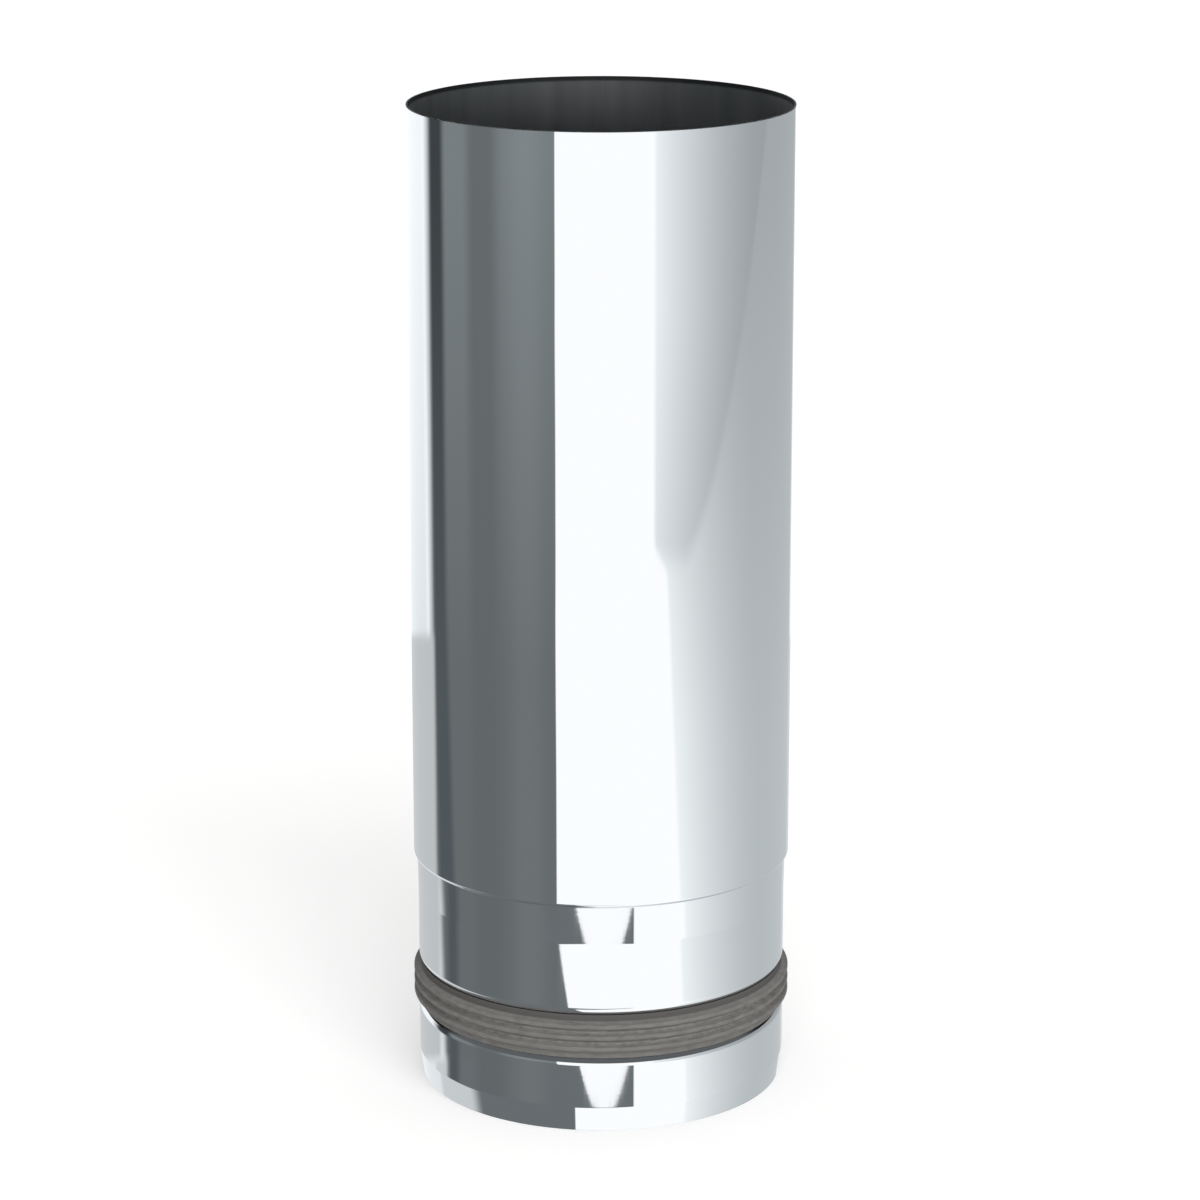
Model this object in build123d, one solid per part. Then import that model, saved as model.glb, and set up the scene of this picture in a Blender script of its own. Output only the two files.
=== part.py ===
"""Straight 80 mm pellet stove pipe: a rolled and formed stainless tube with its silicone lip gasket.

Millimetres, +Z up. The origin is the centre of the spigot's open end, which the pipe stands on. The
plain upper end is the socket: it takes the spigot of the next pipe, as this spigot fits the last one.
"""
import os
from math import atan2, cos

from build123d import *

# Sheet, bore and the fit of a spigot in a socket
WALL = 0.5
SOCKET_BORE = 80.4
JOINT_CLEARANCE = 0.4  # radial, between a spigot and the socket round it

# Lengths of the formed bands, from the open end of the spigot up to the rim of the socket
NOSE_LENGTH = 5.4  # curled in, so that the spigot finds its socket
LEAD_LENGTH = 10.4  # cylinder that enters first
GROOVE_WIDTH = 10.9  # from shoulder to shoulder
GUIDE_LENGTH = 15.2  # cylinder above the groove
TAPER_LENGTH = 8.3  # band that widens a little, to bring the two pipes in line
JOGGLE_LENGTH = 0.35  # the step out to the body, where the next pipe's rim stops
BODY_LENGTH = 162.45  # plain tube

# How far each band leaves the spigot's cylinder, measured on the radius
NOSE_CURL = 0.7
TAPER_RISE = 0.142
GROOVE_DEPTH = 1.2
GROOVE_FLANK_RUN = 1.1  # how far each side of the groove leans, along the pipe

# Radii on the inner side of each bend that the forming rolls leave in the sheet
NOSE_BEND = 1.0
SHOULDER_BEND = 1.8
GROOVE_BEND = 0.4
TAPER_BEND = 20.0
JOGGLE_INNER_BEND = 0.3
JOGGLE_OUTER_BEND = 0.1

# Gasket
SEAT_CLEARANCE = 0.05  # between the rubber and the steel of its groove
BAND_SINK = 0.3  # the rubber between the lips lies this far below the spigot's skin
LIP_COUNT = 3
LIP_SQUEEZE = 0.75  # how far the free lips stand beyond the bore that they seal, on the radius
LIP_MARGIN = 1.6  # from each side of the band to the root of the nearest lip
LIP_VALLEY = 0.4  # between the roots of two lips
LIP_EDGE = 0.8  # thickness of a lip at its free edge
LIP_LEAN = 0.3  # how far the edge is swept back, towards the body
LIP_EDGE_BEND = 0.35
RUBBER_BEND = 0.2  # in the valleys and on the band's corners

socket_radius = SOCKET_BORE / 2
body_radius = socket_radius + WALL
spigot_radius = socket_radius - JOINT_CLEARANCE
groove_radius = spigot_radius - GROOVE_DEPTH

groove_bottom = NOSE_LENGTH + LEAD_LENGTH
groove_top = groove_bottom + GROOVE_WIDTH
taper_bottom = groove_top + GUIDE_LENGTH
joggle_bottom = taper_bottom + TAPER_LENGTH
joggle_top = joggle_bottom + JOGGLE_LENGTH
rim_height = joggle_top + BODY_LENGTH


def revolve_profile(profile):
    """Turn a flat profile, drawn as radius and height, into a solid round the pipe's axis."""
    return revolve(Plane.XZ * profile, axis=Axis.Z)


def make_pipe_shell():
    """One sheet of constant wall: its outer skin is drawn once, with its bends, and offset inwards."""
    spare = WALL  # sheet drawn below the open end, then cut off square
    spare_curl = NOSE_CURL * (1 + spare / NOSE_LENGTH)
    outer_skin = FilletPolyline(
        (spigot_radius - spare_curl, -spare),
        (spigot_radius, NOSE_LENGTH),
        (spigot_radius, groove_bottom),
        (groove_radius, groove_bottom + GROOVE_FLANK_RUN),
        (groove_radius, groove_top - GROOVE_FLANK_RUN),
        (spigot_radius, groove_top),
        (spigot_radius, taper_bottom),
        (spigot_radius + TAPER_RISE, joggle_bottom),
        (body_radius, joggle_top),
        (body_radius, rim_height),
        radius=[
            NOSE_BEND + WALL,
            SHOULDER_BEND + WALL, GROOVE_BEND, GROOVE_BEND, SHOULDER_BEND + WALL,
            TAPER_BEND, JOGGLE_INNER_BEND, JOGGLE_OUTER_BEND + WALL,
        ],
    )
    wall = make_face(offset(outer_skin, amount=WALL, side=Side.LEFT))
    below_end = Pos(0, -spare) * Rectangle(2 * body_radius, 2 * spare)
    return revolve_profile(wall - below_end)


def make_sealing_gasket():
    """A silicone band that fills the groove, with lips swept back so that they fold on the way in."""
    seat_radius = groove_radius + SEAT_CLEARANCE
    band_radius = spigot_radius - BAND_SINK
    edge_radius = socket_radius + LIP_SQUEEZE
    flank_lean = atan2(GROOVE_FLANK_RUN, GROOVE_DEPTH)

    def side_inset(radius):
        """From the groove's shoulder to the side of the rubber, along the pipe, at a radius."""
        flank = GROOVE_FLANK_RUN * (spigot_radius - radius) / GROOVE_DEPTH
        return flank + SEAT_CLEARANCE / cos(flank_lean)

    band_bottom = groove_bottom + side_inset(band_radius)
    band_top = groove_top - side_inset(band_radius)
    section = make_face(Polyline(
        (seat_radius, groove_bottom + side_inset(seat_radius)), (band_radius, band_bottom),
        (band_radius, band_top), (seat_radius, groove_top - side_inset(seat_radius)),
        close=True,
    ))
    seat_corners = section.vertices().group_by(Axis.X)[0]
    section = fillet(seat_corners, radius=GROOVE_BEND - SEAT_CLEARANCE)

    pitch = (band_top - band_bottom - 2 * LIP_MARGIN + LIP_VALLEY) / LIP_COUNT
    half_root = (pitch - LIP_VALLEY) / 2
    for number in range(LIP_COUNT):
        middle = band_bottom + LIP_MARGIN + half_root + number * pitch
        root, edge = middle - LIP_LEAN / 2, middle + LIP_LEAN / 2
        lip = make_face(Polyline(
            (band_radius, root - half_root), (edge_radius, edge - LIP_EDGE / 2),
            (edge_radius, edge + LIP_EDGE / 2), (band_radius, root + half_root),
            close=True,
        ))
        section += fillet(lip.vertices().group_by(Axis.X)[-1], radius=LIP_EDGE_BEND)
    band_corners = section.vertices().filter_by(lambda corner: abs(corner.X - band_radius) < 1e-6)
    return revolve_profile(fillet(band_corners, radius=RUBBER_BEND))


os.makedirs("parts", exist_ok=True)
export_step(make_pipe_shell(), "parts/pipe_shell.step")
export_step(make_sealing_gasket(), "parts/sealing_gasket.step")
print("overall", round(rim_height, 3), "mm long,", round(2 * body_radius, 3), "mm across the body")
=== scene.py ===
# %% [markdown]
# # A pellet stove's flue pipe
# One length of thin stainless tube, bright as a mirror, stands on its spigot. The upper end is the plain
# socket for the next pipe. The lower end is stepped in and carries a grey silicone gasket in a rolled
# groove. We make the scene in this order: the frame and the camera, the two turned pieces, their
# materials, and last the studio, because polished metal looks like whatever stands round it.
#
# The frame holds the pipe's solid model, which gives the true sizes. Ours are in millimetres, as on a
# drawing, and MM turns them into Blender's metres.

# %% Frame
from math import acos, atan, ceil, copysign, cos, degrees, exp, hypot, pi, radians, sin, tan

import bpy
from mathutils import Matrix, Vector


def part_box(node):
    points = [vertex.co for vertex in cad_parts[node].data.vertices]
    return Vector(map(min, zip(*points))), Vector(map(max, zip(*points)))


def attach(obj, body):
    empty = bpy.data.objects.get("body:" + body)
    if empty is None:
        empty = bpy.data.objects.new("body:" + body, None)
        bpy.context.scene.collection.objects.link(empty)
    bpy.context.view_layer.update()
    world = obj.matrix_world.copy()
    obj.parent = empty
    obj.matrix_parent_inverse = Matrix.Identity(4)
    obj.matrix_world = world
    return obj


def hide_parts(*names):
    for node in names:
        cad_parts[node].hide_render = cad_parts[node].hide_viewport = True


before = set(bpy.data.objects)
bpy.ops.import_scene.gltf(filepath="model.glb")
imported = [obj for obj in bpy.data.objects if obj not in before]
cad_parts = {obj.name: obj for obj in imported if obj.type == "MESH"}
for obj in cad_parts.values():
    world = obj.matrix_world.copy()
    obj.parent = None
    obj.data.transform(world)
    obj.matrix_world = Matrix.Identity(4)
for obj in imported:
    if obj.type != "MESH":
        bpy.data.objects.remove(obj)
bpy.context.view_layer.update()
MM = 0.001

shell_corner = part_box("pipe_shell")[1]  # the upper one of its box
gasket_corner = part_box("sealing_gasket")[1]
rim_height = shell_corner.z / MM
body_radius = shell_corner.x / MM
lip_radius = gasket_corner.x / MM
print(f"pipe: {rim_height:.1f} mm long, {2 * body_radius:.1f} mm across, {2 * lip_radius:.1f} at the lips")

# %% [markdown]
# ## Camera
# The photograph looks down at the pipe by 15 degrees from less than a metre away. That distance shows:
# the pipe is a little narrower at its foot, and the rim's ellipse is flatter than the rings below it.
# A camera could be moved by eye until the outline fits, but a long lens at the true distance gives both
# signs at once. So the distance and the lens were reckoned from the widths and ellipses in the picture.

# %% Camera
IMAGE_SIDE = 1200  # pixels
FOCAL_LENGTH = 4161.5  # pixels, from the outline of the rim and of the foot
SENSOR = 36.0  # mm
CAMERA_BACK, CAMERA_UP = 0.8622, 0.3375  # m, from the pipe's axis and from the floor
CAMERA_TILT = 15.03  # degrees down
PICTURE_SHIFT = -1  # pixels: the pipe stands this far right of the picture's middle

camera_data = bpy.data.cameras.new("camera")
camera_data.sensor_width = SENSOR
camera_data.lens = FOCAL_LENGTH / IMAGE_SIDE * SENSOR
camera_data.shift_x = PICTURE_SHIFT / IMAGE_SIDE
camera = bpy.data.objects.new("camera", camera_data)
camera.location = (0, -CAMERA_BACK, CAMERA_UP)
camera.rotation_euler = (radians(90 - CAMERA_TILT), 0, 0)
bpy.context.scene.collection.objects.link(camera)
bpy.context.scene.camera = camera
print(f"lens {camera_data.lens:.1f} mm, {CAMERA_BACK} m in front of the pipe's axis")

# %% [markdown]
# ## Drawing a turned section
# Both pieces are round, so each is one closed outline of radius and height, swept round the axis. The
# outline is drawn as a maker bends sheet: sharp corners first, then a bend radius for each corner. A
# bevel modifier could round the corners, but here every point also knows which way the true surface
# faces. Polished steel shows the smallest error in that direction as a kink in its reflections.

# %% Bent outlines
BEND_STEP = 9  # degrees of an arc between two points


def bent_outline(line):
    """A closed outline, drawn anticlockwise, as points (radius, height) with their outward directions.

    Each row of the line is a corner's radius and height, and the radius of the bend there.
    """
    corners = [Vector(row[:2]) for row in line]
    points = []
    for number, (_, _, bend) in enumerate(line):
        arriving = (corners[number] - corners[number - 1]).normalized()
        leaving = (corners[(number + 1) % len(corners)] - corners[number]).normalized()
        turn = acos(max(-1.0, min(1.0, arriving.dot(leaving))))
        side = copysign(1, arriving.x * leaving.y - arriving.y * leaving.x)
        start = corners[number] - arriving * bend * tan(turn / 2)
        outward = Vector((arriving.y, -arriving.x))
        centre = start - outward * bend * side
        steps = max(1, ceil(degrees(turn) / BEND_STEP))
        for step in range(steps + 1):
            angle = side * turn * step / steps
            facing = Vector((
                outward.x * cos(angle) - outward.y * sin(angle),
                outward.x * sin(angle) + outward.y * cos(angle),
            ))
            points.append((centre + facing * bend * side, facing))
    return points


bent_square = bent_outline([(0, 0, 0.1), (1, 0, 0.1), (1, 1, 0.1), (0, 1, 0.1)])
print(f"a square with four bends is drawn with {len(bent_square)} points")

# %% [markdown]
# ## Columns of points round the pipe
# A screw modifier could turn an outline into a surface, with one step all the way round. The weld seam
# of a real pipe is much finer than that step. So the columns are placed one by one: evenly for most of
# the way, and close together across the seam, which is at the back of the pipe.

# %% Columns
PLAIN_COLUMNS = 192
SEAM_ANGLE = pi / 2  # the seam runs up the pipe at +Y


def column_angles(radius, seam_offsets):
    """Angles round the pipe: evenly spaced, with more of them at these distances in mm from the seam."""
    spacing = 2 * pi / PLAIN_COLUMNS
    near_seam = [SEAM_ANGLE + offset / radius for offset in seam_offsets]
    clear_of_seam = max([abs(offset) for offset in seam_offsets], default=0) / radius + spacing / 4
    even = [SEAM_ANGLE + spacing * (number + 0.5) for number in range(PLAIN_COLUMNS)]
    away = [a for a in even if min(a - SEAM_ANGLE, SEAM_ANGLE + 2 * pi - a) > clear_of_seam]
    return sorted(near_seam + away)


print(f"even columns are {360 / PLAIN_COLUMNS} degrees apart")

# %% [markdown]
# ## Sweeping the section round
# Every point of the outline goes round on every column, and its true direction goes with it, to be the
# mesh's shading. Smooth shading alone would guess directions from the faces, and the long plain runs
# would show rings at their ends. The seam's bead is raised here too. It rises along the radius and
# fades where the skin faces up or down, so the pipe's cut ends stay flat.


# %% Turned pieces
def turned_piece(name, outline, columns, bead=lambda offset: 0.0):
    """A mesh swept round the axis. The bead says how far the skin is raised, this far from the seam."""
    nudge = 1e-3  # mm, for the bead's slope
    vertices, directions, faces = [], [], []
    for angle in columns:
        away, around = Vector((cos(angle), sin(angle), 0)), Vector((-sin(angle), cos(angle), 0))
        for (radius, height), facing in outline:
            offset = (angle - SEAM_ANGLE) * radius
            slope = (bead(offset + nudge) - bead(offset - nudge)) / (2 * nudge) * abs(facing.x)
            reach = radius + bead(offset) * facing.x
            vertices.append((away * reach + Vector((0, 0, height))) * MM)
            directions.append((away * facing.x + Vector((0, 0, facing.y)) - around * slope).normalized())
    rows = len(outline)
    for column in range(len(columns)):
        here, there = column * rows, (column + 1) % len(columns) * rows
        for row in range(rows):
            above = (row + 1) % rows
            faces.append((here + row, there + row, there + above, here + above))
    mesh = bpy.data.meshes.new(name)
    mesh.from_pydata(vertices, [], faces)
    mesh.shade_smooth()
    mesh.normals_split_custom_set_from_vertices(directions)
    piece = bpy.data.objects.new(name, mesh)
    bpy.context.scene.collection.objects.link(piece)
    print(f"{name}: {len(vertices)} points, {2 * len(faces)} triangles")
    return piece


# %% [markdown]
# ## The pipe's sheet
# The real pipe is one strip of 0.5 mm stainless, rolled up, welded along its length and then formed at
# the lower end between rollers: a curled-in nose, the gasket's groove, a band that widens slightly, and
# the step out to the body, which is called a joggle. All of this could be modelled with loops cut into
# a cylinder, but the bands' true heights and bends are easier to read and to change in a short table.
# The sharp edges of a sheared sheet are taken off, hence the tiny bends at both ends.

# %% Outer skin
WALL = 0.5
EDGE_BREAK = 0.08  # rounding of the sheet's cut edges
JOINT_CLEARANCE = 0.4  # on the radius, between this spigot and the socket that it enters
NOSE_CURL, TAPER_RISE = 0.7, 0.142  # how far the ends of these bands leave the spigot's cylinder
GROOVE_DEPTH, GROOVE_FLANK_RUN = 1.2, 1.1
spigot_radius = body_radius - WALL - JOINT_CLEARANCE
groove_radius = spigot_radius - GROOVE_DEPTH

NOSE_HEIGHT = 5.4
GROOVE_BOTTOM, GROOVE_TOP = 15.8, 26.7
TAPER_BOTTOM = 41.9
JOGGLE_BOTTOM, JOGGLE_TOP = 50.2, 50.55

outer_line = [
    # radius, height, bend
    (spigot_radius - NOSE_CURL, 0.0, EDGE_BREAK),
    (spigot_radius, NOSE_HEIGHT, 1.5),
    (spigot_radius, GROOVE_BOTTOM, 2.3),
    (groove_radius, GROOVE_BOTTOM + GROOVE_FLANK_RUN, 0.4),
    (groove_radius, GROOVE_TOP - GROOVE_FLANK_RUN, 0.4),
    (spigot_radius, GROOVE_TOP, 2.3),
    (spigot_radius, TAPER_BOTTOM, 20.0),
    (spigot_radius + TAPER_RISE, JOGGLE_BOTTOM, 0.3),
    (body_radius, JOGGLE_TOP, 0.6),
    (body_radius, rim_height, EDGE_BREAK),
]
print(f"spigot {2 * spigot_radius:.1f} mm across, floor of the groove {2 * groove_radius:.1f} mm")

# %% [markdown]
# ## One wall further in
# The sheet is equally thick all along, so the inner skin isn't drawn: it follows from the outer one. A
# solidify modifier could do that too, but it would round the bends wrongly. Here each corner moves in
# along the line that halves its angle, and its bend keeps the same centre.


# %% Inner skin
def inner_skin(line):
    """The same line one wall further in, from the rim down. A bend that bulges out gets tighter inside."""
    corners = [Vector(row[:2]) for row in line]
    inner = []
    for number in range(1, len(line) - 1):
        arriving = (corners[number] - corners[number - 1]).normalized()
        leaving = (corners[number + 1] - corners[number]).normalized()
        outward = Vector((arriving.y, -arriving.x))
        middle = outward + Vector((leaving.y, -leaving.x))
        corner = corners[number] - middle * WALL / middle.dot(outward)
        bulges = arriving.x * leaving.y - arriving.y * leaving.x > 0
        inner.append((*corner, line[number][2] + (-WALL if bulges else WALL)))
    nose = Vector(inner[0][:2]) - corners[1] + corners[0]
    lean = (corners[1].x - corners[0].x) / (corners[1].y - corners[0].y)
    foot = (nose.x - nose.y * lean, 0.0, EDGE_BREAK)
    rim = (corners[-1].x - WALL, corners[-1].y, EDGE_BREAK)
    return [rim] + inner[::-1] + [foot]


shell_outline = bent_outline(outer_line + inner_skin(outer_line))
print(f"the sheet's section has {len(outer_line)} corners on each side, {len(shell_outline)} points in all")

# %% [markdown]
# ## The weld seam
# The two edges of the strip are joined by a laser or plasma weld with no filler. It leaves a bead under
# a millimetre wide and a few hundredths high. It could be a bump in the material, but a raised mesh also
# shows at the silhouette and in every reflection. A Gaussian curve has the soft shoulders of a melt.

# %% Weld bead
BEAD_HEIGHT = 0.04
BEAD_HALF_WIDTH = 0.4
SEAM_STEP = 0.11  # between two columns of points near the seam
seam_offsets = [SEAM_STEP * step for step in range(-12, 13)]


def weld_bead(offset):
    return BEAD_HEIGHT * exp(-((offset / BEAD_HALF_WIDTH) ** 2) * 2)


shell = turned_piece("steel_shell", shell_outline, column_angles(body_radius, seam_offsets), weld_bead)
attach(shell, "root")
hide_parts("pipe_shell")

# %% [markdown]
# ## The gasket
# A band of grey silicone rubber, moulded as a closed ring and stretched into the groove. Three lips run
# round it, swept back towards the body, so that they fold easily on the way into a socket and then press
# on its wall. Ribs could be painted on a plain band, but lips throw real shade on each other and break
# the band's silhouette. The valleys between them are the dark lines in the photograph.

# %% Gasket
SEAT_GAP = 0.05  # between the rubber and the steel of its groove
BAND_SINK = 0.3  # the rubber between the lips lies this far below the spigot's skin
LIP_COUNT = 3
LIP_MARGIN = 1.6  # from each side of the band to the root of the nearest lip
LIP_VALLEY, LIP_EDGE, LIP_LEAN = 0.4, 0.8, 0.3
RUBBER_BEND, LIP_EDGE_BEND, SEAT_BEND = 0.2, 0.35, 0.35

seat_radius = groove_radius + SEAT_GAP
band_radius = spigot_radius - BAND_SINK


def side_inset(radius):
    """From the groove's shoulder to the rubber, along the pipe: the groove's flanks lean."""
    lean = GROOVE_FLANK_RUN / GROOVE_DEPTH
    return (spigot_radius - radius) * lean + SEAT_GAP * hypot(1, lean)


band_bottom = GROOVE_BOTTOM + side_inset(band_radius)
band_top = GROOVE_TOP - side_inset(band_radius)
pitch = (band_top - band_bottom - 2 * LIP_MARGIN + LIP_VALLEY) / LIP_COUNT
half_root = (pitch - LIP_VALLEY) / 2

gasket_line = [
    (seat_radius, GROOVE_BOTTOM + side_inset(seat_radius), SEAT_BEND),
    (band_radius, band_bottom, RUBBER_BEND),
]
for number in range(LIP_COUNT):
    middle = band_bottom + LIP_MARGIN + half_root + number * pitch
    root, edge = middle - LIP_LEAN / 2, middle + LIP_LEAN / 2
    gasket_line += [
        (band_radius, root - half_root, RUBBER_BEND),
        (lip_radius, edge - LIP_EDGE / 2, LIP_EDGE_BEND),
        (lip_radius, edge + LIP_EDGE / 2, LIP_EDGE_BEND),
        (band_radius, root + half_root, RUBBER_BEND),
    ]
gasket_line += [
    (band_radius, band_top, RUBBER_BEND),
    (seat_radius, GROOVE_TOP - side_inset(seat_radius), SEAT_BEND),
]
print(f"{LIP_COUNT} lips, one every {pitch:.2f} mm, {lip_radius - band_radius:.2f} mm high")

gasket = turned_piece("silicone_gasket", bent_outline(gasket_line), column_angles(lip_radius, []))
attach(gasket, "root")
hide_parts("sealing_gasket")

# %% [markdown]
# ## Helpers for materials
# Materials are built from nodes, and in a script that soon gets long. Colours are noted as the hex
# values that a screen shows, and one function turns them into the linear values that light is reckoned
# in. One more function adds a node of any kind, with its settings and its links. Values that are the
# same all over a surface are set on the shader itself, where they are also found after an export.


# %% Colours and nodes
def colour(code):
    """An sRGB hex colour as linear red, green and blue, with full alpha."""
    shown = [int(code[place:place + 2], 16) / 255 for place in (1, 3, 5)]
    return (*(c / 12.92 if c <= 0.04045 else ((c + 0.055) / 1.055) ** 2.4 for c in shown), 1.0)


def add_node(tree, kind, settings=None, **inputs):
    """A node with its settings. Each input, by name or as _number, is a value, a node or an output."""
    node = tree.nodes.new(kind)
    for setting, value in (settings or {}).items():
        setattr(node, setting, value)
    for name, value in inputs.items():
        socket = node.inputs[int(name[1:]) if name[1:].isdigit() else name.replace("_", " ")]
        if isinstance(value, bpy.types.Node):
            value = value.outputs[0]
        if isinstance(value, bpy.types.NodeSocket):
            tree.links.new(value, socket)
        else:
            socket.default_value = value
    return node


def new_material(name, **shader_values):
    """A material with one Principled shader, whose constant values are set on its own sockets."""
    material = bpy.data.materials.new(name)
    material.use_nodes = True
    shader = material.node_tree.nodes["Principled BSDF"]
    for socket, value in shader_values.items():
        shader.inputs[socket.replace("_", " ")].default_value = value
    print("material:", name)
    return material, material.node_tree, shader


print("a screen's middle grey #808080 is", round(colour("#808080")[0], 3), "in linear light")

# %% [markdown]
# ## Places on the pipe
# Patterns are drawn in the object's own coordinates, so they stay where they are in every view. Each is
# a noise that is squeezed to the true size of its grains: a line that the rolls leave is a noise that is
# fine across the pipe and long along it. Heights are kept in millimetres, as a maker would quote them.


# %% Patterns
PLACE = "ShaderNodeTexCoord"
RGBA, FLOAT = {"data_type": "RGBA"}, {"data_type": "FLOAT"}


def grain(tree, across_mm, along_mm, detail=2.0):
    """A noise from 0 to 1 whose grains are this wide across the pipe and this long along it."""
    place = add_node(tree, PLACE).outputs["Object"]
    squeeze = (1 / (across_mm * MM), 1 / (across_mm * MM), 1 / (along_mm * MM))
    sized = add_node(tree, "ShaderNodeVectorMath", {"operation": "MULTIPLY"}, _0=place, _1=squeeze)
    return add_node(tree, "ShaderNodeTexNoise", Vector=sized, Scale=1.0, Detail=detail)


def between(tree, value, low, high, at_low=0.0, at_high=1.0):
    """Turns the stretch from low to high into at_low to at_high, with nothing beyond them."""
    return add_node(
        tree, "ShaderNodeMapRange", Value=value, From_Min=low, From_Max=high, To_Min=at_low, To_Max=at_high)


def reckon(tree, operation, first, second=0.0, third=0.0):
    return add_node(tree, "ShaderNodeMath", {"operation": operation}, _0=first, _1=second, _2=third)


def blend(tree, share, first, second):
    """A mix of two colours, as an output."""
    return add_node(tree, "ShaderNodeMix", RGBA, Factor=share, _6=first, _7=second).outputs[2]


def raise_surface(tree, shader, height_mm):
    """Bumps a surface by a height in millimetres."""
    bump = add_node(tree, "ShaderNodeBump", Height=height_mm, Distance=MM, Strength=1.0)
    tree.links.new(bump.outputs["Normal"], shader.inputs["Normal"])


# %% [markdown]
# ## Bright-annealed stainless steel
# The strip is cold rolled between polished rolls and annealed in hydrogen, so no scale forms. What comes
# out is nearly a mirror and slightly cool in colour. A plain mirror would pass for chrome plate, so the
# shader also gets what the making leaves. The sheet has long shallow waves of a few hundredths of a
# millimetre, lines from the rolls along the pipe, finer ones round the formed end from the forming
# rollers, and soft patches where it was handled. They are noises that bump and dull the surface: a mesh
# that fine would be huge. A metal's base colour already sets what it reflects, so its IOR stays as it is.

# %% Steel
STEEL_COLOUR = "#DFE1E2"
WAVES = 22, 130  # mm across and along the pipe
ROLL_LINES = 0.9, 70  # real ones are 0.05 mm apart, finer than a pixel, so they are drawn coarser
BURNISH_LINES = 160, 0.7  # round the pipe, and drawn coarser too
HANDLED_PATCHES = 26, 40
WAVE_HEIGHT, ROLL_LINE_HEIGHT, BURNISH_LINE_HEIGHT = 0.05, 0.0006, 0.00025  # mm
FORMED_BLEND = 0.4  # mm above the joggle, over which the rolled finish gives way to the burnished one
CLEAN_DULLNESS, HANDLED_DULLNESS, LINE_DULLNESS = 0.014, 0.03, 0.012  # roughness

steel, steel_tree, steel_shader = new_material(
    "bright_annealed_stainless_steel", Base_Color=colour(STEEL_COLOUR), Metallic=1.0)

place_on_pipe = add_node(
    steel_tree, "ShaderNodeSeparateXYZ", Vector=add_node(steel_tree, PLACE).outputs["Object"])
beside, behind, above_foot = place_on_pipe.outputs
formed = between(steel_tree, above_foot, (JOGGLE_TOP + FORMED_BLEND) * MM, JOGGLE_TOP * MM)
waves = reckon(steel_tree, "MULTIPLY", grain(steel_tree, *WAVES), WAVE_HEIGHT)
roll_lines = reckon(steel_tree, "MULTIPLY", grain(steel_tree, *ROLL_LINES), ROLL_LINE_HEIGHT)
rolled = reckon(steel_tree, "ADD", waves, roll_lines)
burnished = reckon(steel_tree, "MULTIPLY", grain(steel_tree, *BURNISH_LINES), BURNISH_LINE_HEIGHT)
surface = add_node(steel_tree, "ShaderNodeMix", FLOAT, Factor=formed, _2=rolled, _3=burnished)

handled = between(
    steel_tree, grain(steel_tree, *HANDLED_PATCHES, detail=4.0), 0.35, 0.7, CLEAN_DULLNESS, HANDLED_DULLNESS)
line_dullness = between(steel_tree, grain(steel_tree, *ROLL_LINES), 0.45, 0.75, 0.0, LINE_DULLNESS)
rolled_dullness = reckon(steel_tree, "ADD", handled, line_dullness)

# %% [markdown]
# ## The weld's colours
# The weld is annealed with the strip, but a trace of its heat stays: straw, then a little brown and blue
# towards the bead, all within two millimetres. The bead has the fine ripples of a melt that froze as it
# moved on. Both could go on a strip of their own, but then its edges would show. One material that
# knows the distance from the seam has none: that is the distance from X = 0, on the side of +Y.

# %% Heat tint and ripples
TINT_REACH = 1.8  # mm to each side of the seam
RIPPLE_PITCH = 0.6  # mm
RIPPLE_HEIGHT = 0.004  # mm
RIPPLE_TRAIL = 4.0  # radians by which a ripple trails at the bead's edge, which bends it into an arrow
BEAD_DULLNESS = 0.12

seam_side = between(steel_tree, behind, 0.0, MM)
from_seam = reckon(steel_tree, "ABSOLUTE", beside)
tint = add_node(
    steel_tree, "ShaderNodeValToRGB", Fac=between(steel_tree, from_seam, 0.0, TINT_REACH * MM))
ramp = tint.color_ramp
ramp.elements[0].color, ramp.elements[1].color = colour("#B9B7B4"), colour(STEEL_COLOUR)
for share, code in ((0.2, "#A9ABB4"), (0.36, "#C4B29B"), (0.62, "#DAD0BB")):  # blue, brown and straw
    ramp.elements.new(share).color = colour(code)
steel_colour = blend(steel_tree, seam_side, colour(STEEL_COLOUR), tint)
steel_tree.links.new(steel_colour, steel_shader.inputs["Base Color"])

on_bead = reckon(
    steel_tree, "MULTIPLY", seam_side,
    between(steel_tree, from_seam, BEAD_HALF_WIDTH * MM, 0.8 * BEAD_HALF_WIDTH * MM))
phase = reckon(steel_tree, "MULTIPLY", above_foot, 2 * pi / (RIPPLE_PITCH * MM))
trailing = reckon(steel_tree, "MULTIPLY_ADD", from_seam, -RIPPLE_TRAIL / (BEAD_HALF_WIDTH * MM), phase)
ripple = reckon(steel_tree, "MULTIPLY", reckon(steel_tree, "SINE", trailing), RIPPLE_HEIGHT)
raise_surface(steel_tree, steel_shader, reckon(steel_tree, "MULTIPLY_ADD", ripple, on_bead, surface))
dullness = reckon(steel_tree, "MULTIPLY_ADD", on_bead, BEAD_DULLNESS, rolled_dullness)
steel_tree.links.new(dullness.outputs[0], steel_shader.inputs["Roughness"])
print(f"heat tint {2 * TINT_REACH} mm wide, with a ripple every {RIPPLE_PITCH} mm")
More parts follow.
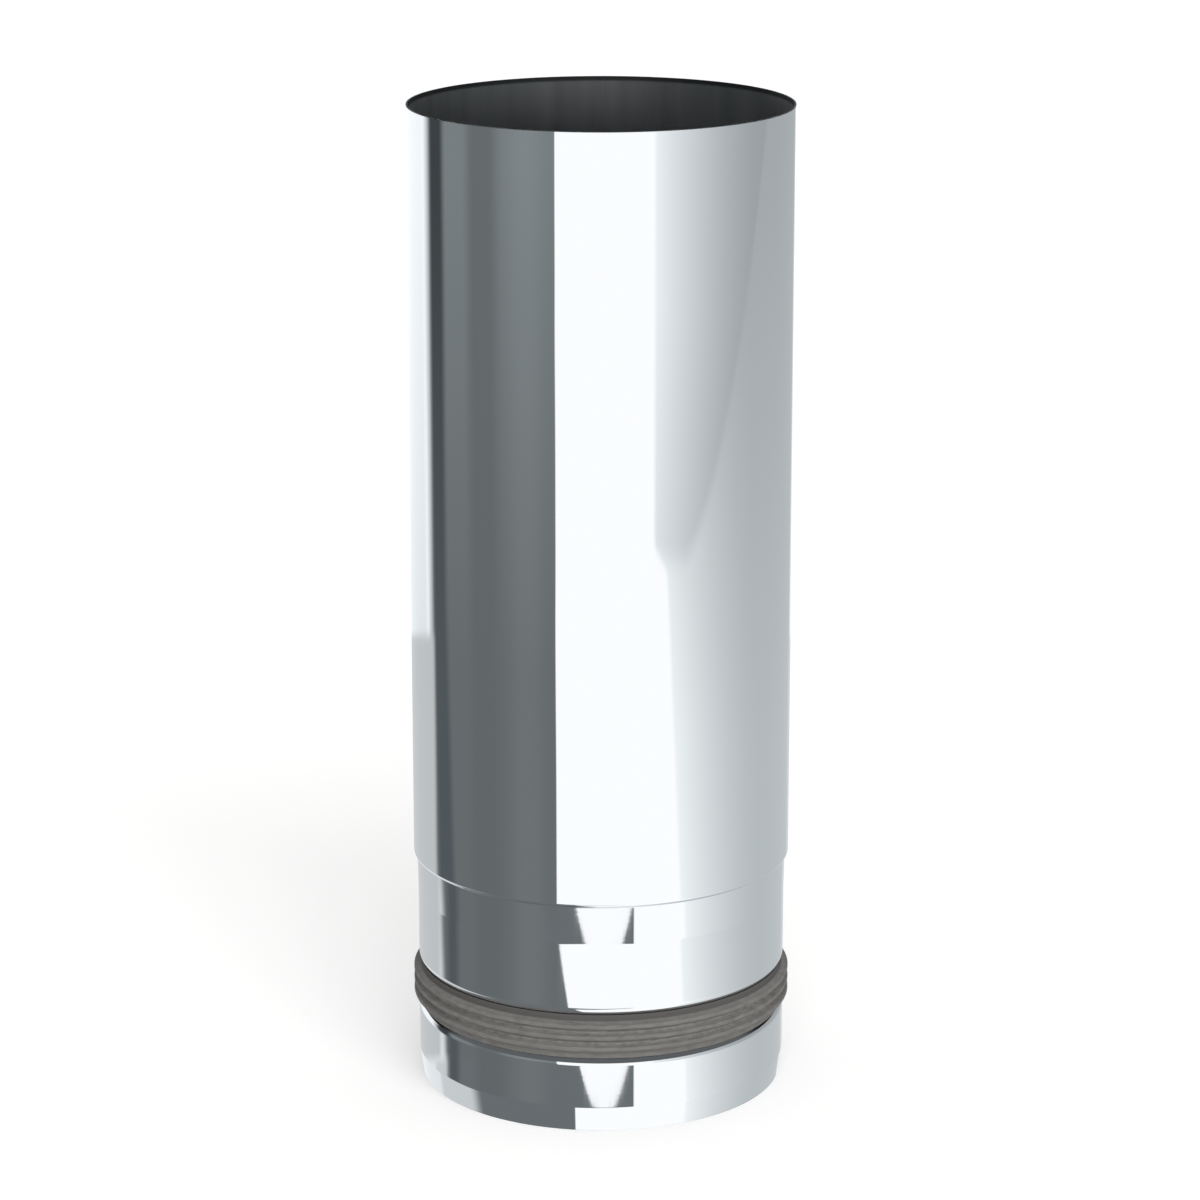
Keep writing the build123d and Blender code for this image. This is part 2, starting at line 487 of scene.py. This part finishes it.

# %% [markdown]
# ## The inside
# Only the outer side of the strip is kept bright. The inner side touched the drawing rollers and their
# oil, and is a dull, darker grey with long smears. Just below the rim the inside is painted darker all
# round the mouth: painted shade, standing in for the dark ring that shading and reflection give the rim.
# A second material for this side is simpler than one that has to tell the sides apart, because the mesh
# already knows which way each face looks.

# %% Inner side
SMEARS, DULL_PATCHES, DRAWN_LINES = (4, 110), (8, 140), (0.8, 25)  # mm across and along the pipe
RIM_SHADE_FROM, RIM_SHADE_TO = 1.2, 0.7  # mm below the rim, where the painted shade at the rim starts and is full
DRAWN_LINE_HEIGHT = 0.004  # mm
INSIDE_DULLNESS = 0.52, 0.6  # roughness, from the cleaner patches to the duller ones

inside, inside_tree, inside_shader = new_material("dull_inner_side_of_the_strip", Metallic=1.0)
smeared = between(inside_tree, grain(inside_tree, *SMEARS, detail=3.0), 0.3, 0.7)
plain_inside = blend(inside_tree, smeared, colour("#A8AAAB"), colour("#B7B9BA"))
inside_height = add_node(
    inside_tree, "ShaderNodeSeparateXYZ", Vector=add_node(inside_tree, PLACE).outputs["Object"])
# painted shade: the inside is made darker along its top, just below the rim
painted_rim_shade = between(
    inside_tree, inside_height.outputs["Z"],
    (rim_height - RIM_SHADE_FROM) * MM, (rim_height - RIM_SHADE_TO) * MM)
inside_tree.links.new(
    blend(inside_tree, painted_rim_shade, plain_inside, colour("#5E6062")), inside_shader.inputs["Base Color"])
inside_dullness = between(inside_tree, grain(inside_tree, *DULL_PATCHES), 0.3, 0.7, *INSIDE_DULLNESS)
inside_tree.links.new(inside_dullness.outputs[0], inside_shader.inputs["Roughness"])
drawn = reckon(inside_tree, "MULTIPLY", grain(inside_tree, *DRAWN_LINES), DRAWN_LINE_HEIGHT)
raise_surface(inside_tree, inside_shader, drawn)

# %% [markdown]
# ## The cut edges
# The strip was sheared to length. The blade burnishes part of an edge and tears the rest, which leaves
# small pits and scratches across its half millimetre. They are drawn with one noise, which sets the
# colour, the roughness and the depth together, as the two kinds of edge differ in all three.

# %% Cut edge
TORN_SPOTS = 0.35, 0.35  # mm, near their real size
TEAR_DEPTH = 0.01  # mm
EDGE_DULLNESS = 0.35, 0.55  # roughness where the blade burnished and where it tore

cut_edge, cut_tree, cut_shader = new_material("sheared_stainless_edge", Metallic=1.0)
torn = between(cut_tree, grain(cut_tree, *TORN_SPOTS), 0.4, 0.6)
cut_tree.links.new(
    blend(cut_tree, torn, colour("#C4C6C7"), colour("#A3A5A7")), cut_shader.inputs["Base Color"])
cut_dullness = between(cut_tree, torn, 0.0, 1.0, *EDGE_DULLNESS)
cut_tree.links.new(cut_dullness.outputs[0], cut_shader.inputs["Roughness"])
raise_surface(cut_tree, cut_shader, reckon(cut_tree, "MULTIPLY", torn, TEAR_DEPTH))

for finish in (steel, inside, cut_edge):
    shell.data.materials.append(finish)
for face in shell.data.polygons:
    looks_out = face.normal.x * face.center.x + face.normal.y * face.center.y > 0
    face.material_index = 2 if abs(face.normal.z) > 0.999 else 0 if looks_out else 1
counts = [sum(face.material_index == slot for face in shell.data.polygons) for slot in range(3)]
print("faces of bright steel, inner side and cut edge:", counts)

# %% [markdown]
# ## Silicone rubber
# The mould of a seal is blasted, so the rubber comes out matt with a fine grain. Its grey is a filler,
# which never mixes quite evenly and leaves paler streaks round the ring. The valleys between the lips are
# painted paler, in specks: painted light, which keeps their shade from looking black. The rubber above
# the lips is painted darker: painted shade along the groove's upper edge. Each of these is a mask, from
# the height or from the distance to the axis, so no part of the ring has to be painted by hand.

# %% Silicone
STREAKS, VALLEY_LIGHT_SPECKLE = (2.6, 0.8), (1.5, 0.7)  # mm round the ring and along the pipe
MOULD_GRAIN = 0.4, 0.4  # the real grain is about 0.05 mm, finer than any pixel, so it is drawn coarser
MOULD_GRAIN_HEIGHT = 0.02  # mm
RUBBER_DULLNESS = 0.72, 0.84  # roughness, between the streaks and on them
LIP_FADE, SHADE_FADE_ABOVE_LIPS = 0.6, 0.3  # mm, over which the painted light of the valleys ends and the painted shade starts at the outer lips
rubber, rubber_tree, rubber_shader = new_material("grey_silicone_rubber", IOR=1.41)

ring_place = add_node(rubber_tree, PLACE).outputs["Object"]
ring_height = add_node(rubber_tree, "ShaderNodeSeparateXYZ", Vector=ring_place).outputs["Z"]
flattened = add_node(
    rubber_tree, "ShaderNodeVectorMath", {"operation": "MULTIPLY"}, _0=ring_place, _1=(1, 1, 0))
from_axis = add_node(
    rubber_tree, "ShaderNodeVectorMath", {"operation": "LENGTH"}, _0=flattened).outputs["Value"]

# painted light: the valleys between the lips are made paler, in specks, so that their shade doesn't look
# black
valley = between(rubber_tree, from_axis, (lip_radius - 0.3) * MM, (band_radius + 0.2) * MM)
ring_middle = (band_bottom + band_top) / 2
past_middle = reckon(
    rubber_tree, "ABSOLUTE", reckon(rubber_tree, "SUBTRACT", ring_height, ring_middle * MM))
half_lips = (band_top - band_bottom) / 2 - LIP_MARGIN
among_lips = between(rubber_tree, past_middle, half_lips * MM, (half_lips - LIP_FADE) * MM)
valley_light_speckle = between(rubber_tree, grain(rubber_tree, *VALLEY_LIGHT_SPECKLE), 0.2, 0.6)
painted_valley_light = reckon(rubber_tree, "MULTIPLY", reckon(rubber_tree, "MULTIPLY", valley, among_lips), valley_light_speckle)

lips_top = band_top - LIP_MARGIN
# painted shade: the rubber from the top lip upwards is made darker
painted_shade_above_lips = between(rubber_tree, ring_height, (lips_top - SHADE_FADE_ABOVE_LIPS) * MM, (lips_top + 0.2) * MM)
streaked = between(rubber_tree, grain(rubber_tree, *STREAKS, detail=3.0), 0.3, 0.7)
clean = blend(rubber_tree, streaked, colour("#6F6D6A"), colour("#807E7B"))
before_valley_light = blend(rubber_tree, painted_shade_above_lips, clean, colour("#5B5957"))
rubber_tree.links.new(
    blend(rubber_tree, painted_valley_light, before_valley_light, colour("#999794")), rubber_shader.inputs["Base Color"])
rubber_dullness = between(rubber_tree, streaked, 0.0, 1.0, *RUBBER_DULLNESS)
rubber_tree.links.new(rubber_dullness.outputs[0], rubber_shader.inputs["Roughness"])
raise_surface(
    rubber_tree, rubber_shader,
    reckon(rubber_tree, "MULTIPLY", grain(rubber_tree, *MOULD_GRAIN), MOULD_GRAIN_HEIGHT))
gasket.data.materials.append(rubber)

# %% [markdown]
# ## The studio
# Polished metal shows the studio more than itself, so the likeness of this picture is made here. The
# steel in the photograph mirrors a white room with a slate-grey wall on the left, a pale sweep on the
# right that darkens as it goes round, and a dark mat on the table in front. Cards on stands could be
# modelled, but their distance would show in the reflections and they would stand in the way of other
# views. The world can be painted by direction instead, in degrees round the pipe and above the horizon.
# Bearing 0 is towards the camera, and bearings grow to its right.

# %% Direction in the studio
world = bpy.data.worlds.new("studio")
bpy.context.scene.world = world
world.use_nodes = True
studio = world.node_tree

looking = add_node(studio, "ShaderNodeSeparateXYZ", Vector=add_node(studio, "ShaderNodeTexCoord"))
across, along, up = looking.outputs
nearer = reckon(studio, "MULTIPLY", along, -1.0)
bearing = reckon(studio, "DEGREES", reckon(studio, "ARCTAN2", across, nearer))
elevation = reckon(studio, "DEGREES", reckon(studio, "ARCSINE", up))


def where_greater(greater, lesser, soft):
    """1 where the first measure is the greater one, 0 where it is the lesser, and soft in between."""
    lead = reckon(studio, "SUBTRACT", greater, lesser)
    return add_node(
        studio, "ShaderNodeMapRange", {"interpolation_type": "SMOOTHSTEP"},
        Value=lead, From_Min=-soft / 2, From_Max=soft / 2)


print("nodes that find a direction's bearing and elevation:", len(studio.nodes))

# %% [markdown]
# ## The pale sweep on the right
# It is a curved card whose far end turns away from the lamp, so it darkens with the square of what is
# left of its length. It has two parts, as the steel shows. The lower one starts further round the lower
# one looks. The upper one ends in a line that is level at first and then climbs as it goes back.

# %% The pale sweep
SWEEP_LEVEL, SWEEP_LOWEST = -15.0, -23.5  # degrees: the lower part's start moves between these
SWEEP_SHIFT = 2.2  # degrees of bearing for each degree of elevation
SWEEP_PARTS = [
    # first degree of its bearing, its length in degrees, colour at the start, colour at the far end,
    # elevations between which it darkens, and the brightness left at the second of them
    (36, 75, "#F6FAFB", "#B4B9BB", (-17, -8), 0.78),
    (31, 85, "#EDF1F3", "#9A9FA2", (-11, -14.4), 0.88),
]
LINE_LEVEL, LINE_TURN, LINE_CLIMB = -14.45, 50, 0.0118  # the line climbs from this bearing on

clamped = reckon(studio, "MAXIMUM", elevation, SWEEP_LOWEST)
past_level = reckon(studio, "SUBTRACT", clamped, SWEEP_LEVEL)
moved_on = reckon(studio, "MULTIPLY_ADD", past_level, SWEEP_SHIFT, bearing)
sweeps = []
for measure, (first, length, near_colour, far_colour, (light_at, dark_at), darkest) in zip(
        (moved_on, bearing), SWEEP_PARTS):
    left_over = between(studio, measure, first, first + length, 1.0, 0.0)
    sheen = blend(studio, reckon(studio, "POWER", left_over, 2.0), colour(far_colour), colour(near_colour))
    dimming = between(studio, elevation, light_at, dark_at, 1.0, darkest)
    sweeps.append(add_node(
        studio, "ShaderNodeVectorMath", {"operation": "SCALE"}, Vector=sheen, Scale=dimming))

past_turn = between(studio, bearing, LINE_TURN, 180, 0, 180 - LINE_TURN)
climb = reckon(studio, "POWER", past_turn, 1.5)
line_height = reckon(studio, "MULTIPLY_ADD", climb, LINE_CLIMB, LINE_LEVEL)
upper = where_greater(elevation, line_height, 0.5)
painted = blend(studio, upper, *sweeps)
print("the sweep ends at bearings", [first + length for first, length, *_ in SWEEP_PARTS])

# %% [markdown]
# ## The white wall ahead
# Straight ahead of the pipe, behind the camera, is a white wall. It gives the broad white band down the
# middle of the steel. It ends on the right where each part of the sweep starts.

# %% The white wall ahead
WHITE = "#FDFDFF"
WHITE_ENDS = 40.5, 31.8  # bearings at the sweep's lower and upper part
WHITE_SOFTNESS = 3.0  # degrees
past_ends = [
    reckon(studio, "SUBTRACT", measure, end) for measure, end in zip((moved_on, bearing), WHITE_ENDS)]
past_white = add_node(studio, "ShaderNodeMix", FLOAT, Factor=upper, _2=past_ends[0], _3=past_ends[1])
painted = blend(studio, where_greater(past_white, 0.0, WHITE_SOFTNESS), colour(WHITE), painted)
print("the white wall ends at bearings", WHITE_ENDS)

# %% [markdown]
# ## The table and its mat
# The dark mat on the table ends at a straight edge in front of the pipe. That edge is placed where a
# line of sight meets the table, one unit below, because a straight line on a table isn't straight in
# degrees. It makes the two V-shaped lights near the foot of the steel. The mat's sides run towards the
# pipe, and close to it the mat reaches right round. On the left the table beyond it is pale grey.

# %% The table and its mat
MAT_COLOUR, TABLE_COLOUR = "#676C6E", "#C5C8CA"
MAT_FRONT = 2.463  # how far its front edge is, for each unit that it lies below
MAT_TURN = 0.03  # how much further that edge is on the right, for each unit across
MAT_HIGHEST = -17.0  # degrees, above which the taper and the plain wall of the pipe show none of it
TABLE_EDGE = -21.3  # degrees: the table's far edge, as the steel shows it
TABLE_RIGHT = -60.0  # bearing: the table is seen on the left of this

depth = reckon(studio, "MAXIMUM", reckon(studio, "MULTIPLY", up, -1.0), 0.01)
ahead = reckon(studio, "DIVIDE", reckon(studio, "MULTIPLY_ADD", across, MAT_TURN, nearer), depth)
# the bearings of the mat's sides change with the elevation: from the third number to the fourth, as
# the elevation climbs from the first to the second
mat_left = reckon(
    studio, "ADD", between(studio, elevation, -37, -23, -80, -114),
    between(studio, elevation, -41, -38, -110, 0))
mat_right = between(studio, elevation, -36, -24, -17.5, 20.5)
on_table = reckon(
    studio, "MULTIPLY", where_greater(TABLE_EDGE, elevation, 0.2),
    where_greater(TABLE_RIGHT, bearing, 10))
painted = blend(studio, on_table, painted, colour(TABLE_COLOUR))
on_mat = 1.0
for greater, lesser, soft in (  # degrees of softness, but in MAT_FRONT's units for that edge
    (bearing, mat_left, 9), (mat_right, bearing, 1), (MAT_FRONT, ahead, 0.004),
    (MAT_HIGHEST, elevation, 0.5),
):
    on_mat = reckon(studio, "MULTIPLY", on_mat, where_greater(greater, lesser, soft))
painted = blend(studio, on_mat, painted, colour(MAT_COLOUR))
print(f"straight ahead the mat ends {degrees(atan(1 / MAT_FRONT)):.1f} degrees below the horizon")

# %% [markdown]
# ## The other walls
# The walls on the left and behind are upright stripes, which the steel bends into long columns. Each is
# laid over the ones before it, from one bearing to another, with its own soft edges, and is a little
# darker towards its foot. The ceiling is dark, and so is the mouth of the pipe, which mirrors it.

# %% The other walls
WALL_TOP, WALL_FOOT = -9, -16  # elevations that have the first and the second colour
# edges that lean: their bearings at the lower and at the higher elevation
slate_left = between(studio, elevation, -22.5, -18.5, -115, -125)
joint_left = between(studio, elevation, -19, -15, -117, -121)
joint_right = between(studio, elevation, -19, -15, -101.5, -107)
WALLS = [
    # what is seen, its two colours, left edge, softness, right edge, softness, lowest, highest
    ("slate wall", "#787E80", "#666B6C", slate_left, 14, -27, 0.7, TABLE_EDGE, 90),
    ("shade on its middle", "#666B6C", "#626768", -85, 10, -64, 12, -22.3, 90),
    ("light on its near half", "#7F8587", "#6D7273", -54, 14, -36, 14, -22.3, 90),
    ("dark joint behind it", "#3C4042", "#50565A", joint_left, 6, joint_right, 7, -19, 90),
    ("bright wall behind", "#EFF3F6", "#DBDFE1", -181, 0.1, -130, 6, -45, 90),
    ("its skirting", "#BABDBF", "#BABDBF", -181, 0.1, -122, 8, TABLE_EDGE, -15.5),
    ("bright wall, past the back", "#EFF3F6", "#DBDFE1", 165, 10, 181, 0.1, -45, 90),
    ("its skirting, past the back", "#BABDBF", "#BABDBF", 165, 10, 181, 0.1, TABLE_EDGE, -15.5),
    ("shade at the slate's foot", "#51575A", "#51575A", -113, 8, -102, 8, -23.5, -19),
    ("ceiling", "#5A5D5F", "#5A5D5F", -181, 0.1, 181, 0.1, 9, 90),
    ("dark ceiling behind", "#1B1C1D", "#1B1C1D", -181, 0.1, -110, 20, 9, 90),
    ("dark ceiling behind, past the back", "#1B1C1D", "#1B1C1D", 110, 20, 181, 0.1, 9, 90),
]
lowness = between(studio, elevation, WALL_TOP, WALL_FOOT)
for what, top_colour, foot_colour, left, left_soft, right, right_soft, lowest, highest in WALLS:
    within = where_greater(bearing, left, left_soft)
    for greater, lesser, soft in (
        (right, bearing, right_soft), (elevation, lowest, 0.2), (highest, elevation, 0.2),
    ):
        within = reckon(studio, "MULTIPLY", within, where_greater(greater, lesser, soft))
    shaded = blend(studio, lowness, colour(top_colour), colour(foot_colour))
    painted = blend(studio, within, painted, shaded)
    print("painted:", what)

# %% [markdown]
# ## Light and background
# Three kinds of ray ask the world for light. The camera's own rays find plain white. Reflections find
# the painted studio, lit so that steel, which returns about three quarters, shows its colours as they
# are written. All other rays find an even grey, which lights the rubber and the floor softly.

# %% Light
SKY_LEVEL = 0.58
mirror_level = 1 / colour(STEEL_COLOUR)[1]
seen = add_node(studio, "ShaderNodeLightPath")
white = studio.nodes["Background"]
white.inputs["Color"].default_value = colour("#FFFFFF")
even = add_node(studio, "ShaderNodeBackground", Color=colour("#FFFFFF"), Strength=SKY_LEVEL)
mirrored = add_node(studio, "ShaderNodeBackground", Color=painted, Strength=mirror_level)
reflecting = reckon(
    studio, "MAXIMUM", seen.outputs["Is Glossy Ray"], seen.outputs["Is Transmission Ray"])
lit = add_node(studio, "ShaderNodeMixShader", Fac=reflecting, _1=even, _2=mirrored)
shown = add_node(studio, "ShaderNodeMixShader", Fac=seen.outputs["Is Camera Ray"], _1=lit, _2=white)
studio.links.new(shown.outputs[0], studio.nodes["World Output"].inputs["Surface"])
print(f"even light {SKY_LEVEL}, reflections {mirror_level:.2f}")

# %% [markdown]
# ## The lamp
# A large soft box stands in front and a little to the right, where the gasket is lightest. A sun lamp
# with a wide disc lights the whole floor evenly, as a near area lamp would not. Its place in the mirror
# is taken by the painted studio, so reflections don't see it.

# %% Soft box
KEY_BEARING, KEY_ELEVATION = 14, 34  # degrees
KEY_WIDTH = 50  # degrees across, as seen from the pipe
KEY_ENERGY = 1.75

key_data = bpy.data.lights.new("soft_box", "SUN")
key_data.energy = KEY_ENERGY
key_data.angle = radians(KEY_WIDTH)
key = bpy.data.objects.new("soft_box", key_data)
level = cos(radians(KEY_ELEVATION))
key_from = Vector((
    sin(radians(KEY_BEARING)) * level, -cos(radians(KEY_BEARING)) * level, sin(radians(KEY_ELEVATION))))
key.rotation_euler = key_from.to_track_quat("Z", "Y").to_euler()
key.visible_glossy = False
bpy.context.scene.collection.objects.link(key)
print(f"soft box {KEY_ELEVATION} degrees up, {KEY_BEARING} degrees to the right")

# %% [markdown]
# ## The floor
# The floor is white card. Lit only by the lamps it would look grey beside the white world, and more lamps
# would burn out the rubber. So the camera sees the card a little brighter than the lamps make it, and
# it still keeps the pipe's shadow. Reflections pass it by: the painted studio has its own table.

# %% Floor
FLOOR_SIDE = 8.0  # m
FLOOR_GLOW = 0.32
bpy.ops.mesh.primitive_plane_add(size=FLOOR_SIDE, location=(0, 0, 0))
floor = bpy.context.object
floor.name = "floor"
floor.visible_glossy = False
card, card_tree, card_shader = new_material(
    "white_card", Base_Color=colour("#F1F1F0"), Roughness=0.9, Emission_Color=colour("#FFFFFF"))
asked = add_node(card_tree, "ShaderNodeLightPath")
direct = reckon(card_tree, "MAXIMUM", asked.outputs["Is Camera Ray"], asked.outputs["Is Glossy Ray"])
directly_seen = reckon(card_tree, "MAXIMUM", direct, asked.outputs["Is Transmission Ray"])
glow = reckon(card_tree, "MULTIPLY", directly_seen, FLOOR_GLOW)
card_tree.links.new(glow.outputs[0], card_shader.inputs["Emission Strength"])
floor.data.materials.append(card)

# %% [markdown]
# ## Finish
# Colours are shown as they are written, without a film look.

# %% Finish
bpy.context.scene.view_settings.view_transform = "Standard"
